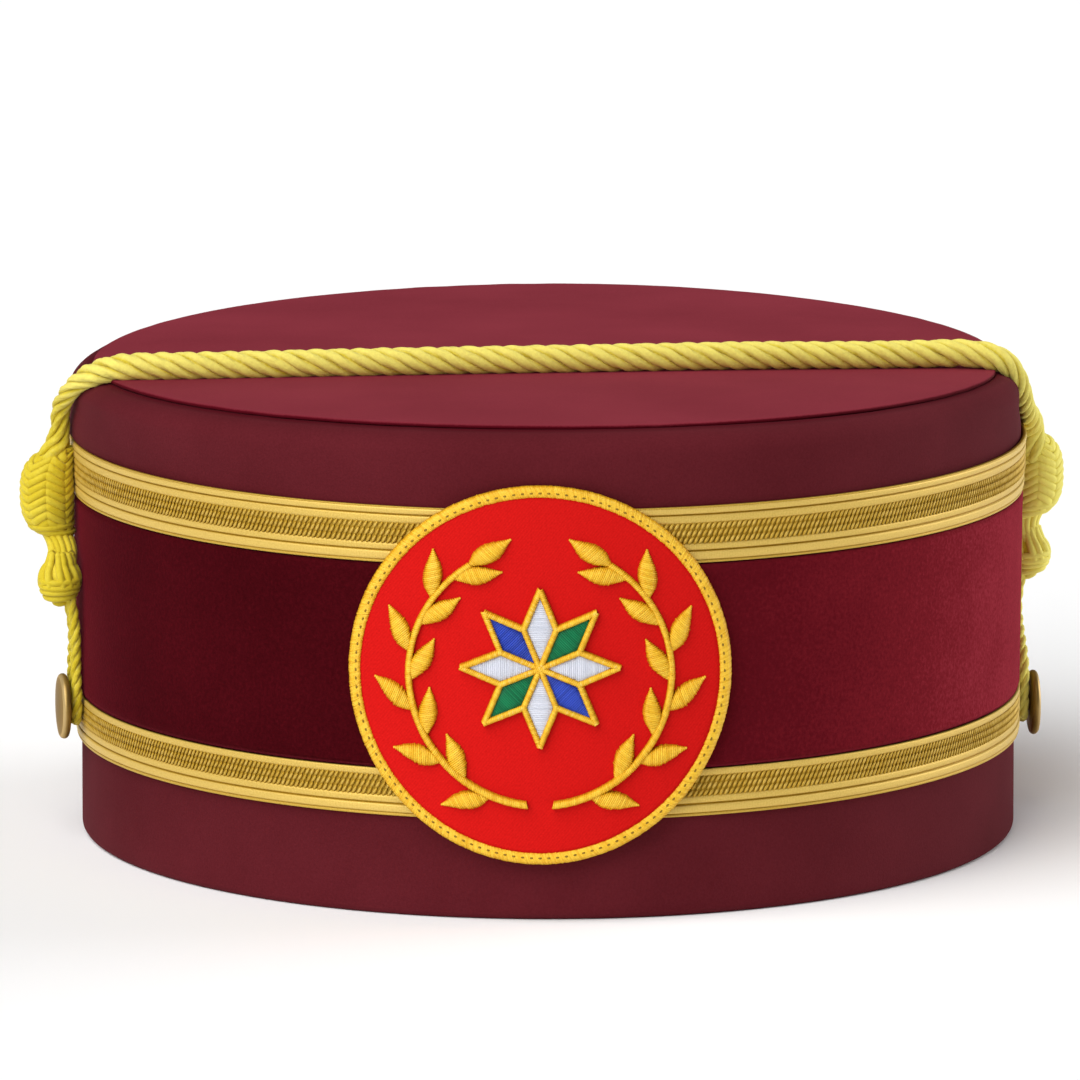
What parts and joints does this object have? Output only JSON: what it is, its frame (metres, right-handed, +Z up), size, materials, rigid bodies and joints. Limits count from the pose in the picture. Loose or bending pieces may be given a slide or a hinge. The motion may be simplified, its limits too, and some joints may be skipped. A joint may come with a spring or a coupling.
{
  "type": "masonic crown cap",
  "caption": "Stiff oval crown cap of burgundy cloth, worn on the head: flat top, velvet band between gold laces, embroidered badge in front, and a twisted gold cord looped to side buttons.",
  "frame": {"origin": "middle of the open rim, on the surface that the cap stands on", "axes": "+Z up out of the flat top, -Y towards the badge at the front, +X towards the wearer's left"},
  "size_m": [0.2086, 0.2122, 0.1008],
  "materials": {
    "wall_cloth": "matt burgundy wool cloth with a soft sheen",
    "top_cloth": "matt burgundy wool cloth, a little lighter",
    "velvet": "dark crimson velvet with a patchy nap",
    "lace_gold": "woven gold lace with a soft metallic lustre",
    "badge_red": "bright red twill",
    "badge_gold": "orange-gold embroidery thread with satin lustre",
    "badge_fill": "white, blue and green satin stitch with gold outlines",
    "cord_gold": "lemon-gold twisted cord with a satin lustre",
    "button_brass": "smooth polished brass, slightly dulled"
  },
  "bodies": {
    "root": {"crown_wall": "wall_cloth", "crown_top": "top_cloth", "velvet_band": "velvet", "lace_upper": "lace_gold", "lace_lower": "lace_gold", "patch_ground": "badge_red", "patch_border": "badge_gold", "wreath_left": "badge_gold", "wreath_right": "badge_gold", "badge_star": "badge_fill", "crown_cord": "cord_gold", "knot_large_left": "cord_gold", "knot_large_right": "cord_gold", "strand_bundle_left": "cord_gold", "strand_bundle_right": "cord_gold", "knot_small_left": "cord_gold", "knot_small_right": "cord_gold", "button_loop_left": "cord_gold", "button_loop_right": "cord_gold", "button_left": "button_brass", "button_right": "button_brass"}
  },
  "joints": []
}
